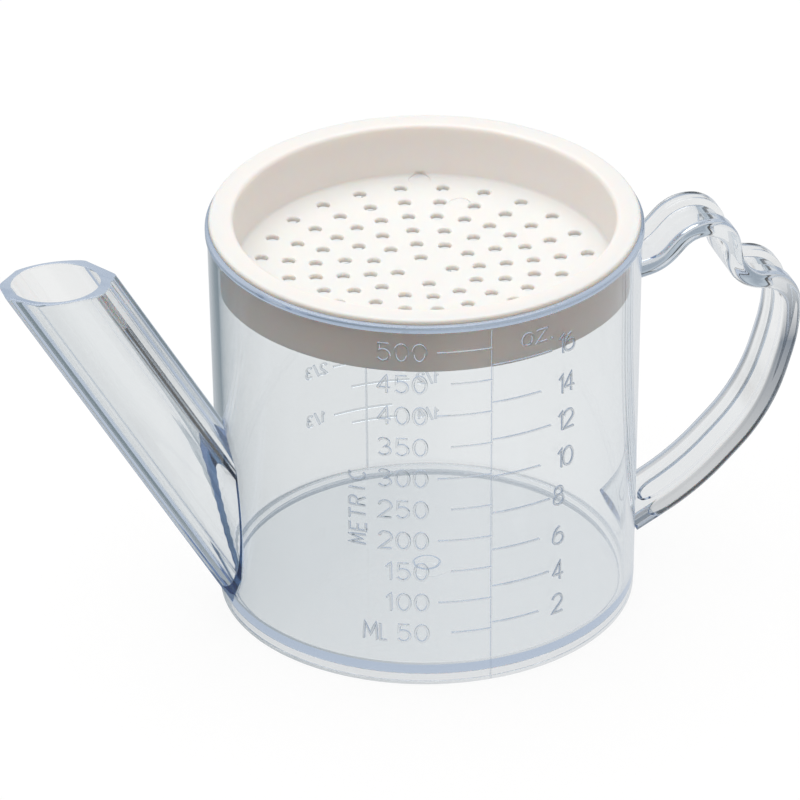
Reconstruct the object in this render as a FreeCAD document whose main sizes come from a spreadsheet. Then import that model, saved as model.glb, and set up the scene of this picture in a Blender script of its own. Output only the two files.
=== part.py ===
import FreeCAD, Part
import math
import os

import Sketcher

# Gravy fat separator: a clear measuring cup with a low pouring spout, a wavy
# strap handle and a white strainer that drops into the rim and lifts off.
#
# Frame: millimetres, origin on the table under the middle of the cup, +Z up,
# +X towards the handle, -X towards the spout. The scale marks face -Y.

Vector = FreeCAD.Vector

# Driving sizes. Each row is the name, the value and what it measures.
CUP_SIZES = [
    ("cup_height", 90.5, "table to the top of the rim"),
    ("rim_radius", 48.0, "outside of the thicker band round the rim"),
    ("rim_band_height", 2.0, "height of that band"),
    ("rim_fillet", 0.9, "rounding of the band's upper edge"),
    ("rim_step", 0.45, "how far the band stands out from the wall under it"),
    ("wall_taper", 1.4, "how much the wall's radius shrinks down to the foot ring"),
    ("wall_thickness", 2.0, "wall, measured level"),
    ("foot_height", 2.2, "height of the foot ring"),
    ("foot_step", 0.1, "how far the foot ring is set in from the wall"),
    ("foot_ring_width", 3.0, "width of the ring that the cup stands on"),
    ("foot_fillet", 0.2, "rounding of the foot ring's outer edge"),
    ("foot_recess", 1.0, "clearance under the floor inside the ring"),
    ("floor_thickness", 2.3, "floor"),
    ("floor_fillet", 2.5, "rounding where floor and wall meet inside"),
]
SCALE_SIZES = [
    ("scale_rise", 2.1, "height of the scales' zero above the floor"),
    ("metric_step", 15.7, "height of 100 ml"),
    ("ounce_step", 18.56, "height of four fluid ounces"),
    ("mark_relief", 0.25, "how far a mark stands out of the wall"),
    ("mark_root", 0.6, "depth of a mark's root in the wall"),
    ("mark_height", 0.5, "thickness of a mark's line"),
    ("metric_long", 14.5, "degrees of wall under a mark at whole hundreds"),
    ("metric_short", 11.0, "degrees of wall under a mark between them"),
    ("ounce_long", 17.2, "degrees of wall under a mark at 4, 8, 12, 16"),
    ("ounce_short", 14.0, "degrees of wall under a mark between them"),
]
SPOUT_SIZES = [
    ("spout_tilt", 60.0, "degrees between the tube and the table"),
    ("spout_bore_radius", 8.4, "inside of the tube"),
    ("spout_wall_low", 2.2, "tube wall on the side away from the cup"),
    ("spout_wall_high", 3.2, "tube wall on the side towards the cup"),
    ("spout_wall_side", 1.35, "tube wall at its two flat sides"),
    ("spout_mouth_drop", 1.1, "level mouth, below the rim of the cup"),
    ("port_floor_gap", 1.2, "lowest edge of the port above the floor"),
]
HANDLE_SIZES = [
    ("handle_width", 15.6, "strap, across"),
    ("handle_thickness", 4.2, "strap, through"),
    ("handle_rounding", 1.1, "rounding of the strap's four edges"),
    ("channel_width", 6.2, "channel along the middle of the strap's outer face"),
    ("channel_depth", 1.4, "the same channel"),
    ("handle_top_drop", 17.1, "upper end of the strap, below the rim"),
    ("handle_low_height", 8.9, "lower end of the strap, above the table"),
    ("handle_end_inset", 2.0, "how far the untrimmed ends run into the wall"),
]
STRAINER_SIZES = [
    ("flange_setback", 0.8, "flange edge, inside the rim's edge"),
    ("flange_thickness", 1.3, "flange that rests on the rim"),
    ("flange_fillet", 0.7, "rounding of the flange's outer edges"),
    ("skirt_clearance", 0.5, "gap between the skirt and the cup's bore"),
    ("skirt_length", 12.2, "skirt, below the flange"),
    ("dish_wall_top", 3.3, "wall of the dish at the flange"),
    ("dish_wall_foot", 3.6, "wall of the dish at its floor"),
    ("dish_lip_fillet", 1.0, "rounding of the dish's upper edge"),
    ("dish_floor_thickness", 1.3, "perforated floor"),
    ("dish_sag", 1.6, "how far the floor dips to its middle"),
    ("drain_radius", 1.45, "drain hole"),
    ("drain_ring_step", 6.0, "distance between the rings of drain holes"),
    ("drain_edge_gap", 1.5, "least floor between a drain hole and the dish's wall"),
    ("strainer_turn", -9.0, "degrees that the strainer is turned in the cup"),
]

# The strap's course between its ends: corners of a polygon whose corners are
# rounded as far as its runs allow. Reach is measured out from the cup's wall.
# The first row hangs from the upper end, the second stands on the lower one.
UPPER_CORNERS = [
    ("grip_root", 5.0, 1.1),
    ("thumb_rest", 12.1, 8.7),
    ("thumb_stop", 20.9, 7.0),
    ("finger_hollow", 22.6, -6.8),
    ("grip_shoulder", 35.6, -7.9),
    ("grip_back", 35.7, -20.5),
]
LOWER_CORNERS = [
    ("grip_bend", 29.6, 24.0),
    ("grip_heel", 13.1, 7.7),
]

# Holes in each ring of the strainer's floor, from the middle outwards. Rings
# are laid as far as the dish's wall, and any further one has as many holes as
# the last.
DRAIN_COUNTS = [4, 12, 16, 24, 24, 24]

# Sizes that follow from the driving ones.
DERIVED = [
    ("band_bottom", "cup_height - rim_band_height"),
    ("wall_top_radius", "rim_radius - rim_step"),
    ("wall_foot_radius", "wall_top_radius - wall_taper"),
    ("wall_slope", "(wall_top_radius - wall_foot_radius) / (band_bottom - foot_height)"),
    ("foot_radius", "wall_foot_radius - foot_step"),
    ("foot_ring_inner", "foot_radius - foot_ring_width"),
    ("floor_top", "foot_recess + floor_thickness"),
    ("bore_floor_radius", "wall_foot_radius + wall_slope * (floor_top - foot_height) - wall_thickness"),
    ("bore_top_radius", "wall_foot_radius + wall_slope * (cup_height - foot_height) - wall_thickness"),
    ("scale_zero", "floor_top + scale_rise"),
    ("trim_reach", "0.5 * cup_height"),
    ("trim_low_radius", "wall_foot_radius - wall_slope * (foot_height + trim_reach)"),
    ("spout_shift", "0.5 * (spout_wall_high - spout_wall_low)"),
    ("spout_radius", "spout_bore_radius + 0.5 * (spout_wall_high + spout_wall_low)"),
    ("spout_flat", "spout_bore_radius + spout_wall_side"),
    ("spout_lean", "90 - spout_tilt"),
    ("spout_mouth_height", "cup_height - spout_mouth_drop"),
    ("port_x", "spout_bore_radius * cos(spout_lean * 1deg) - bore_floor_radius"),
    ("port_z", "floor_top + port_floor_gap + spout_bore_radius * sin(spout_lean * 1deg)"),
    ("tube_x", "port_x + spout_shift * cos(spout_lean * 1deg)"),
    ("tube_z", "port_z + spout_shift * sin(spout_lean * 1deg)"),
    ("tube_length", "(spout_mouth_height + 2 * spout_radius) / cos(spout_lean * 1deg)"),
    ("handle_top_height", "cup_height - handle_top_drop"),
    ("flange_radius", "rim_radius - flange_setback"),
    ("flange_top", "cup_height + flange_thickness"),
    ("skirt_bottom", "cup_height - skirt_length"),
    ("skirt_top_radius", "bore_top_radius - skirt_clearance"),
    ("skirt_bottom_radius", "skirt_top_radius - wall_slope * skirt_length"),
    ("dish_top_radius", "skirt_top_radius - dish_wall_top"),
    ("dish_floor_radius", "skirt_bottom_radius - dish_wall_foot"),
    ("dish_floor_edge", "skirt_bottom + dish_floor_thickness"),
    ("dish_floor_middle", "dish_floor_edge - dish_sag"),
    ("dish_under_middle", "skirt_bottom - dish_sag"),
    ("drain_reach", "dish_floor_radius - drain_edge_gap - drain_radius"),
    ("drain_rings", "floor(drain_reach / drain_ring_step)"),
]

# Each family of marks: name, first mark's share of a step, step, span, and
# whether it runs from the parting line towards the spout. There are as many as
# fit under the rim band.
MARKS = [
    ("hundreds", "1", "metric_step", "metric_long", True),
    ("fifties", "0.5", "metric_step", "metric_short", True),
    ("fours", "1", "ounce_step", "ounce_long", False),
    ("twos", "0.5", "ounce_step", "ounce_short", False),
]

doc = FreeCAD.newDocument("fat_separator")
sheet = doc.addObject("Spreadsheet::Sheet", "Sizes")


def fill_sheet():
    """Write every size to the sheet, driving sizes first."""
    rows = CUP_SIZES + SCALE_SIZES + SPOUT_SIZES + HANDLE_SIZES + STRAINER_SIZES
    for name, reach, height in UPPER_CORNERS + LOWER_CORNERS:
        rows = rows + [
            (name + "_reach", reach, "corner of the handle's course, out from the wall"),
            (name + "_rise", height, "the same corner, up from the nearer end"),
        ]
    derived = list(DERIVED)
    for name, share, step, _span, _to_spout in MARKS:
        derived += [
            (name + "_count", f"floor((band_bottom - scale_zero) / {step} - {share} + 1)"),
            (name + "_low", f"scale_zero + {share} * {step} - 0.5 * mark_height"),
            (name + "_high", f"{name}_low + mark_height"),
            (name + "_wall", f"wall_foot_radius + wall_slope * ({name}_low - foot_height)"),
            (name + "_face", f"{name}_wall + mark_relief"),
            (name + "_root", f"{name}_wall - mark_root"),
        ]
    line = 0
    for name, value, note in rows:
        line += 1
        sheet.set(f"A{line}", name)
        sheet.set(f"B{line}", str(value))
        sheet.set(f"C{line}", note)
        sheet.setAlias(f"B{line}", name)
    for name, formula in derived:
        line += 1
        sheet.set(f"A{line}", name)
        sheet.set(f"B{line}", "=" + formula)
        sheet.setAlias(f"B{line}", name)
    doc.recompute()


def size(name):
    """The value of a sheet cell, as a plain number; a leading - turns its sign."""
    if name is None:
        return 0.0
    if name.startswith("-"):
        return -size(name[1:])
    value = sheet.get(name)
    return float(getattr(value, "Value", value))


def bind(thing, prop, formula):
    thing.setExpression(prop, formula)


def new_body(label):
    body = doc.addObject("PartDesign::Body", label)
    body.Label = label
    return body


def origin_plane(body, role):
    return next(part for part in body.Origin.OriginFeatures if part.Role == role)


def pin(sketch, geometry, end, x_name, y_name):
    """Hold a corner of a sketch at two named sizes, or on an axis for None."""
    for kind, name, axis in (("DistanceX", x_name, -2), ("DistanceY", y_name, -1)):
        if name is None:
            sketch.addConstraint(Sketcher.Constraint("PointOnObject", geometry, end, axis))
            continue
        negative = name.startswith("-")
        distance = abs(size(name))
        if negative:
            rule = Sketcher.Constraint(kind, geometry, end, -1, 1, distance)
        else:
            rule = Sketcher.Constraint(kind, -1, 1, geometry, end, distance)
        index = sketch.addConstraint(rule)
        bind(sketch, f"Constraints[{index}]", "Sizes." + name.lstrip("-"))


def outline(body, name, role, corners, bowls=()):
    """A closed outline through corners given as pairs of size names.

    The side that starts at a corner listed in bowls is an arc whose centre is
    on the vertical axis. The other sides are straight.
    """
    sketch = body.newObject("Sketcher::SketchObject", name)
    sketch.AttachmentSupport = (origin_plane(body, role), [""])
    sketch.MapMode = "FlatFace"
    points = [Vector(size(x), size(y), 0) for x, y in corners]
    starts, ends = [], []
    for index, start in enumerate(points):
        end = points[(index + 1) % len(points)]
        if index in bowls:
            rise = (end.dot(end) - start.dot(start)) / (2 * (end.y - start.y))
            centre = Vector(0, rise, 0)
            angles = [math.atan2(p.y - rise, p.x) for p in (start, end)]
            circle = Part.Circle(centre, Vector(0, 0, 1), (start - centre).Length)
            sketch.addGeometry(Part.ArcOfCircle(circle, min(angles), max(angles)), False)
            sketch.addConstraint(Sketcher.Constraint("PointOnObject", index, 3, -2))
            forward = angles[0] < angles[1]
        else:
            sketch.addGeometry(Part.LineSegment(start, end), False)
            forward = True
        starts.append(1 if forward else 2)
        ends.append(2 if forward else 1)
    for index in range(len(points)):
        before = index - 1 if index else len(points) - 1
        sketch.addConstraint(
            Sketcher.Constraint("Coincident", before, ends[before], index, starts[index])
        )
    for index, (x_name, y_name) in enumerate(corners):
        pin(sketch, index, starts[index], x_name, y_name)
    return sketch


def revolve(body, name, sketch, angle="360", backwards=False):
    """Add the outline turned about the vertical axis through so many degrees."""
    solid = body.newObject("PartDesign::Revolution", name)
    solid.Profile = sketch
    solid.ReferenceAxis = (sketch, ["V_Axis"])
    solid.Reversed = backwards
    bind(solid, "Angle", angle)
    return solid


def ring_edges(solid, radius, height):
    """Names of the round edges of that radius at that height."""
    found = []
    for index, edge in enumerate(solid.Shape.Edges, 1):
        # A dish's pole is an edge of no length, which has no curve.
        if edge.Degenerated or not isinstance(edge.Curve, Part.Circle):
            continue
        curve = edge.Curve
        if abs(curve.Radius - radius) < 0.01 and abs(curve.Center.z - height) < 0.01:
            found.append(f"Edge{index}")
    return found


def round_rings(body, name, base, radius_name, rings):
    """Round the ring edges at the given pairs of radius and height."""
    doc.recompute()
    edges = []
    for ring_radius, ring_height in rings:
        edges += ring_edges(base, size(ring_radius), size(ring_height) if ring_height else 0.0)
    fillet = body.newObject("PartDesign::Fillet", name)
    fillet.Base = (base, edges)
    bind(fillet, "Radius", "Sizes." + radius_name)
    return fillet


def add_marks(body, name, step, span, to_spout):
    """One family of scale marks, up the wall from the parting line at -Y."""
    sketch = outline(
        body,
        name + "_outline",
        "YZ_Plane",
        [
            (f"-{name}_face", name + "_low"),
            (f"-{name}_face", name + "_high"),
            (f"-{name}_root", name + "_high"),
            (f"-{name}_root", name + "_low"),
        ],
    )
    # The marks climb along the wall, which leans out a little.
    foot = Vector(-size("wall_foot_radius"), size("foot_height"), 0)
    top = Vector(-size("wall_top_radius"), size("band_bottom"), 0)
    lean = sketch.addGeometry(Part.LineSegment(foot, top), True)
    pin(sketch, lean, 1, "-wall_foot_radius", "foot_height")
    pin(sketch, lean, 2, "-wall_top_radius", "band_bottom")
    first = revolve(body, name, sketch, "Sizes." + span, to_spout)
    doc.recompute()
    pattern = body.newObject("PartDesign::LinearPattern", name + "_pattern")
    pattern.Originals = [first]
    pattern.Direction = (sketch, ["Axis0"])
    bind(pattern, "Occurrences", f"Sizes.{name}_count")
    run = f"Sizes.{step} * (Sizes.{name}_count - 1)"
    bind(pattern, "Length", f"{run} * sqrt(1 + pow(Sizes.wall_slope; 2))")
    body.Tip = pattern
    return pattern


def lean_cylinder(cylinder, radius_name, x_name, z_name, start):
    """Lay a cylinder along the spout, from a named point and a distance on."""
    bind(cylinder, "Radius", "Sizes." + radius_name)
    bind(cylinder, "Height", "Sizes.tube_length")
    along_x = f"Sizes.{x_name} - ({start}) * sin(Sizes.spout_lean * 1deg)"
    along_z = f"Sizes.{z_name} + ({start}) * cos(Sizes.spout_lean * 1deg)"
    cylinder.Placement = FreeCAD.Placement(
        Vector(size(x_name), 0, size(z_name)),
        FreeCAD.Rotation(Vector(0, 1, 0), -size("spout_lean")),
    )
    bind(cylinder, "Placement.Base.x", along_x)
    bind(cylinder, "Placement.Base.z", along_z)
    bind(cylinder, "Placement.Rotation.Angle", "0deg - Sizes.spout_lean * 1deg")


def make_cup():
    """Cup: floor, tapered wall and rim band in one moulding, with its port."""
    body = new_body("cup_shell")
    sketch = outline(
        body,
        "cup_outline",
        "XZ_Plane",
        [
            (None, "foot_recess"),
            ("foot_ring_inner", "foot_recess"),
            ("foot_ring_inner", None),
            ("foot_radius", None),
            ("foot_radius", "foot_height"),
            ("wall_foot_radius", "foot_height"),
            ("wall_top_radius", "band_bottom"),
            ("rim_radius", "band_bottom"),
            ("rim_radius", "cup_height"),
            ("bore_top_radius", "cup_height"),
            ("bore_floor_radius", "floor_top"),
            (None, "floor_top"),
        ],
    )
    wall = revolve(body, "cup_wall", sketch)
    corner = round_rings(body, "floor_corner", wall, "floor_fillet", [("bore_floor_radius", "floor_top")])
    rim = round_rings(body, "rim_edge", corner, "rim_fillet", [("rim_radius", "cup_height")])
    round_rings(body, "foot_edge", rim, "foot_fillet", [("foot_radius", None)])
    doc.recompute()
    for name, _share, step, span, to_spout in MARKS:
        add_marks(body, name, step, span, to_spout)
    doc.recompute()
    # The port goes through the wall in line with the spout's bore and stops
    # just inside, above the floor.
    port = body.newObject("PartDesign::SubtractiveCylinder", "port")
    lean_cylinder(port, "spout_bore_radius", "port_x", "port_z", "-0.4 * Sizes.port_floor_gap")
    body.Tip = port
    return body


def make_wall_trim():
    """The cup's outer wall as a solid cone, which copes the welded pieces."""
    trim = doc.addObject("Part::Cone", "wall_trim")
    bind(trim, "Radius1", "Sizes.trim_low_radius")
    bind(trim, "Radius2", "Sizes.wall_top_radius")
    bind(trim, "Height", "Sizes.band_bottom + Sizes.trim_reach")
    bind(trim, "Placement.Base.z", "0 - Sizes.trim_reach")
    return trim


def make_spout(trim):
    """Spout: round tube with two flat sides, level mouth, coped to the wall."""
    tube = doc.addObject("Part::Cylinder", "tube")
    lean_cylinder(tube, "spout_radius", "tube_x", "tube_z", "0 - Sizes.wall_thickness")
    slab = doc.addObject("Part::Box", "flat_sides")
    bind(slab, "Length", "2 * (Sizes.tube_length + Sizes.rim_radius)")
    bind(slab, "Width", "2 * Sizes.spout_flat")
    bind(slab, "Height", "Sizes.spout_mouth_height + Sizes.trim_reach")
    bind(slab, "Placement.Base.x", "0 - Sizes.tube_length - Sizes.rim_radius")
    bind(slab, "Placement.Base.y", "0 - Sizes.spout_flat")
    bind(slab, "Placement.Base.z", "0 - Sizes.trim_reach")
    body = doc.addObject("Part::Common", "spout_body")
    body.Base = tube
    body.Tool = slab
    bore = doc.addObject("Part::Cylinder", "spout_bore")
    lean_cylinder(bore, "spout_bore_radius", "port_x", "port_z", "0 - Sizes.wall_thickness")
    bored = doc.addObject("Part::Cut", "bored_spout")
    bored.Base = body
    bored.Tool = bore
    spout = doc.addObject("Part::Cut", "spout")
    spout.Base = bored
    spout.Tool = trim
    spout.Label = "spout"
    return spout


def handle_corners():
    """The corners of the handle's course in the plane of +X and +Z."""
    wall = size("wall_top_radius")
    top = size("handle_top_height")
    low = size("handle_low_height")
    start = wall - size("handle_end_inset")
    corners = [Vector(start, 0, top)]
    for name, _reach, _rise in UPPER_CORNERS:
        corners.append(Vector(wall + size(name + "_reach"), 0, top + size(name + "_rise")))
    for name, _reach, _rise in LOWER_CORNERS:
        corners.append(Vector(wall + size(name + "_reach"), 0, low + size(name + "_rise")))
    corners.append(Vector(start, 0, low))
    return corners


def rounded_course(corners):
    """Edges along the corners, each corner rounded by half of its shorter run."""
    edges = []
    last = corners[0]
    for before, corner, after in zip(corners, corners[1:], corners[2:]):
        back, ahead = before - corner, after - corner
        tangent = 0.5 * min(back.Length, ahead.Length)
        back.normalize()
        ahead.normalize()
        half_angle = 0.5 * back.getAngle(ahead)
        radius = tangent * math.tan(half_angle)
        middle = back + ahead
        middle.normalize()
        to_arc = tangent / math.cos(half_angle) - radius
        arc_start = corner + back * tangent
        arc_end = corner + ahead * tangent
        if (arc_start - last).Length > 0.001:
            edges.append(Part.LineSegment(last, arc_start).toShape())
        edges.append(Part.Arc(arc_start, corner + middle * to_arc, arc_end).toShape())
        last = arc_end
    edges.append(Part.LineSegment(last, corners[-1]).toShape())
    return edges


def strap_section(place, direction, width, thickness, rounding):
    """The strap's rounded rectangle, square to its course."""
    side = Vector(0, 1, 0)
    up = direction.cross(side)
    half_y, half_t = 0.5 * width - rounding, 0.5 * thickness - rounding
    edges = []
    for turn in range(4):
        angle = 0.5 * math.pi * turn
        signs = [(1, 1), (-1, 1), (-1, -1), (1, -1)]
        sy, st = signs[turn]
        ny, nt = signs[(turn + 1) % 4]
        centre = place + side * (sy * half_y) + up * (st * half_t)
        following = place + side * (ny * half_y) + up * (nt * half_t)
        points = []
        for share in (0.0, 0.5, 1.0):
            swing = angle + 0.5 * math.pi * share
            points.append(centre + (side * math.cos(swing) + up * math.sin(swing)) * rounding)
        edges.append(Part.Arc(*points).toShape())
        swing = angle + 0.5 * math.pi
        next_start = following + (side * math.cos(swing) + up * math.sin(swing)) * rounding
        edges.append(Part.LineSegment(points[2], next_start).toShape())
    return Part.Wire(edges)


def channel_section(place, direction, width, depth, thickness):
    """A rectangle that reaches from the channel's floor to outside the strap."""
    side = Vector(0, 1, 0) * (0.5 * width)
    up = direction.cross(Vector(0, 1, 0))
    floor = place + up * (0.5 * thickness - depth)
    above = place + up * (0.5 * thickness + depth)
    return Part.makePolygon([floor - side, floor + side, above + side, above - side, floor - side])


def make_handle(trim):
    """Handle: one strap along a wavy course, coped to the wall at both ends."""
    corners = handle_corners()
    course = rounded_course(corners)
    direction = (corners[1] - corners[0]).normalize()
    section = strap_section(
        corners[0],
        direction,
        size("handle_width"),
        size("handle_thickness"),
        size("handle_rounding"),
    )
    strap = doc.addObject("Part::Feature", "strap")
    strap.Shape = Part.Wire(course).makePipeShell([section], True, False)
    # The channel starts and ends with the course's first and last bend.
    groove = channel_section(
        course[1].Vertexes[0].Point,
        direction,
        size("channel_width"),
        size("channel_depth"),
        size("handle_thickness"),
    )
    channel = doc.addObject("Part::Feature", "channel")
    channel.Shape = Part.Wire(course[1:-1]).makePipeShell([groove], True, False)
    grooved = doc.addObject("Part::Cut", "channelled_strap")
    grooved.Base = strap
    grooved.Tool = channel
    handle = doc.addObject("Part::Cut", "handle")
    handle.Base = grooved
    handle.Tool = trim
    handle.Label = "handle"
    return handle


def add_drain_ring(body, ring, count):
    """One ring of drain holes through the strainer's floor."""
    sketch = body.newObject("Sketcher::SketchObject", f"drain_{ring}_outline")
    sketch.AttachmentSupport = (origin_plane(body, "XY_Plane"), [""])
    sketch.MapMode = "FlatFace"
    radius = ring * size("drain_ring_step")
    turn = math.radians(size("strainer_turn"))
    centre = Vector(radius * math.cos(turn), radius * math.sin(turn), 0)
    sketch.addGeometry(Part.Circle(centre, Vector(0, 0, 1), size("drain_radius")), False)
    sketch.addGeometry(Part.LineSegment(Vector(0, 0, 0), centre), True)
    sketch.addConstraint(Sketcher.Constraint("Coincident", 1, 1, -1, 1))
    sketch.addConstraint(Sketcher.Constraint("Coincident", 1, 2, 0, 3))
    rules = [
        (Sketcher.Constraint("Radius", 0, size("drain_radius")), "Sizes.drain_radius"),
        (Sketcher.Constraint("Distance", 1, radius), f"{ring} * Sizes.drain_ring_step"),
        (Sketcher.Constraint("Angle", -1, 1, 1, 1, turn), "Sizes.strainer_turn * 1deg"),
    ]
    for rule, formula in rules:
        index = sketch.addConstraint(rule)
        bind(sketch, f"Constraints[{index}]", formula)
    hole = body.newObject("PartDesign::Pocket", f"drain_{ring}")
    hole.Profile = sketch
    hole.Type = "ThroughAll"
    hole.Reversed = True
    doc.recompute()
    pattern = body.newObject("PartDesign::PolarPattern", f"drain_{ring}_pattern")
    pattern.Originals = [hole]
    pattern.Axis = (sketch, ["N_Axis"])
    pattern.Angle = 360
    pattern.Occurrences = count
    body.Tip = pattern


def make_strainer():
    """Strainer: flange, skirt and perforated dish in one white moulding."""
    body = new_body("strainer_lid")
    sketch = outline(
        body,
        "strainer_outline",
        "XZ_Plane",
        [
            (None, "dish_under_middle"),
            ("dish_floor_radius", "skirt_bottom"),
            ("skirt_bottom_radius", "skirt_bottom"),
            ("skirt_top_radius", "cup_height"),
            ("flange_radius", "cup_height"),
            ("flange_radius", "flange_top"),
            ("dish_top_radius", "flange_top"),
            ("dish_floor_radius", "dish_floor_edge"),
            (None, "dish_floor_middle"),
        ],
        bowls=(0, 7),
    )
    dish = revolve(body, "dish", sketch)
    flange = round_rings(body, "flange_edges", dish, "flange_fillet", [("flange_radius", "flange_top")])
    round_rings(body, "dish_lip", flange, "dish_lip_fillet", [("dish_top_radius", "flange_top")])
    doc.recompute()
    for ring in range(1, int(size("drain_rings")) + 1):
        add_drain_ring(body, ring, DRAIN_COUNTS[min(ring, len(DRAIN_COUNTS)) - 1])
    return body


def check_document():
    """Stop if any object failed to build."""
    doc.recompute()
    for thing in doc.Objects:
        if "Invalid" in thing.State or "Error" in thing.State:
            raise RuntimeError(f"{thing.Name} failed: {thing.State}")


def check_piece(piece):
    """Stop if a piece isn't one sound solid."""
    shape = piece.Shape
    if shape.isNull() or not shape.isValid():
        raise RuntimeError(f"{piece.Label} isn't a valid shape")
    if len(shape.Solids) != 1:
        raise RuntimeError(f"{piece.Label} has {len(shape.Solids)} solids")
    box = shape.optimalBoundingBox(False, False)
    print(
        f"{piece.Label}: {shape.Volume / 1000:.2f} cm3,"
        f" x {box.XMin:.2f} to {box.XMax:.2f},"
        f" y {box.YMin:.2f} to {box.YMax:.2f},"
        f" z {box.ZMin:.2f} to {box.ZMax:.2f}"
    )


fill_sheet()
wall_trim = make_wall_trim()
pieces = [make_cup(), make_spout(wall_trim), make_handle(wall_trim), make_strainer()]
check_document()
for piece in pieces:
    check_piece(piece)
os.makedirs("parts", exist_ok=True)
for piece in pieces:
    piece.Shape.exportStep(f"parts/{piece.Label}.step")
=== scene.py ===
"""Looks for a gravy fat separator: a clear cup with a low spout, a wavy strap
handle and a white strainer that lifts off. Sizes are in millimetres; new_piece
turns them to metres."""

import math

import bmesh
import bpy
import numpy as np
from mathutils import Matrix, Vector


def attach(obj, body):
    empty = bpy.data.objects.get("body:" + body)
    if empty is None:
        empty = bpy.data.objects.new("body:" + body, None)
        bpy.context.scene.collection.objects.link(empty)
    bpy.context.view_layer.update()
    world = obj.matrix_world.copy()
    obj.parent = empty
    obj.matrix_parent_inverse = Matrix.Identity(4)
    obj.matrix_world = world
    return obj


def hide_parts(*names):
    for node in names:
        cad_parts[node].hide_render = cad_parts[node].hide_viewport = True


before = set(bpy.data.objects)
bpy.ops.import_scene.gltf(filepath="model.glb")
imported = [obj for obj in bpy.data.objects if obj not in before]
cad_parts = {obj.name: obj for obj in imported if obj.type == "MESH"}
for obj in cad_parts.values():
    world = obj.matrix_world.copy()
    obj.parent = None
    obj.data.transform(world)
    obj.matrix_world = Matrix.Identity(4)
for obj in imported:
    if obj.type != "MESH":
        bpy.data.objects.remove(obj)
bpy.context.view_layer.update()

# ---------------------------------------------------------------------------
# Cup. One moulding of clear SAN, a stiff kitchen plastic: a foot ring round a
# hollow, a floor, a tapered wall and a thicker rim band. The gate and an ejector
# pad left a ring and a low disc in the middle of the floor.

CUP_TURNS = 256
# Radius and height at both ends of the wall's taper, outside and inside.
WALL_FOOT, WALL_TOP = (46.15, 2.2), (47.55, 88.5)
BORE_FOOT, BORE_TOP = (44.181, 4.1), (45.55, 88.2)
RIM_RADIUS, RIM_LIP, CUP_HEIGHT = 48.0, 46.95, 90.5
FOOT_RADIUS, HOLLOW_RADIUS, HOLLOW = 46.05, 43.1, 1.8
FLOOR, PAD_RADIUS, GATE_RADIUS = BORE_FOOT[1], 6.25, 2.8
WALL_SLOPE = (WALL_TOP[0] - WALL_FOOT[0]) / (WALL_TOP[1] - WALL_FOOT[1])


def wall_radius(height):
    """Outside of the tapered wall at a height."""
    return WALL_FOOT[0] + WALL_SLOPE * (height - WALL_FOOT[1])


def new_piece(name, points, faces):
    """A mesh object from points in millimetres, with its faces turned outwards."""
    mesh = bpy.data.meshes.new(name)
    mesh.from_pydata([tuple(0.001 * c for c in p) for p in points], [], faces)
    work = bmesh.new()
    work.from_mesh(mesh)
    bmesh.ops.recalc_face_normals(work, faces=work.faces)
    if work.calc_volume(signed=True) < 0:
        bmesh.ops.reverse_faces(work, faces=work.faces)
    work.to_mesh(mesh)
    work.free()
    piece = bpy.data.objects.new(name, mesh)
    bpy.context.scene.collection.objects.link(piece)
    mesh.shade_smooth()
    mesh.set_sharp_from_angle(angle=math.radians(33))
    return piece


def rounded(corners, steps_each=None):
    """A closed outline from (x, y, radius) corners. Each radius becomes an arc in
    a set number of steps, or in steps of up to 15 degrees, with a point just
    outside each of its ends, which keeps flat sides flat."""
    outline = []
    for index, (x, y, radius) in enumerate(corners):
        here = np.array((x, y), float)
        before = np.array(corners[index - 1][:2], float)
        after = np.array(corners[(index + 1) % len(corners)][:2], float)
        if radius == 0:
            outline.append(tuple(here))
            continue
        back = (before - here) / np.linalg.norm(before - here)
        ahead = (after - here) / np.linalg.norm(after - here)
        half = 0.5 * math.acos(float(np.clip(back @ ahead, -1, 1)))
        tangent = radius / math.tan(half)
        middle = (back + ahead) / np.linalg.norm(back + ahead)
        centre = here + middle * (radius / math.sin(half))
        start = here + back * tangent - centre
        turn = math.pi - 2 * half
        side = 1 if back[0] * ahead[1] - back[1] * ahead[0] < 0 else -1
        outline.append(tuple(here + back * (tangent + 0.25 * radius)))
        steps = steps_each or max(2, math.ceil(math.degrees(turn) / 15))
        for number in range(steps + 1):
            swing = side * turn * number / steps
            cos, sin = math.cos(swing), math.sin(swing)
            arm = (cos * start[0] - sin * start[1], sin * start[0] + cos * start[1])
            outline.append((centre[0] + arm[0], centre[1] + arm[1]))
        outline.append(tuple(here + ahead * (tangent + 0.25 * radius)))
    return outline


def turned(name, outline, turns, closed=True):
    """A solid of revolution from (radius, height) points. Points on the axis
    become poles."""
    points, rings = [], []
    for radius, height in outline:
        if radius < 1e-6:
            rings.append([len(points)] * turns)
            points.append((0, 0, height))
            continue
        rings.append(list(range(len(points), len(points) + turns)))
        for turn in range(turns):
            angle = 2 * math.pi * turn / turns
            points.append((radius * math.cos(angle), radius * math.sin(angle), height))
    faces = []
    pairs = list(zip(rings, rings[1:])) + ([(rings[-1], rings[0])] if closed else [])
    for low, high in pairs:
        for turn in range(turns):
            following = (turn + 1) % turns
            face = [low[turn], low[following], high[following], high[turn]]
            face = [v for place, v in enumerate(face) if v != face[place - 1]]
            if len(face) > 2:
                faces.append(face)
    return new_piece(name, points, faces)


def read(rows, name, kind=np.float32):
    """One property of all of a mesh's vertices, corners or faces, as a list of
    numbers or, where it is a vector, of threes."""
    width = 3 if name in ("vector", "co", "normal") else 1
    values = np.zeros(len(rows) * width, kind)
    rows.foreach_get(name, values)
    return values.reshape(-1, width) if width > 1 else values


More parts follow.
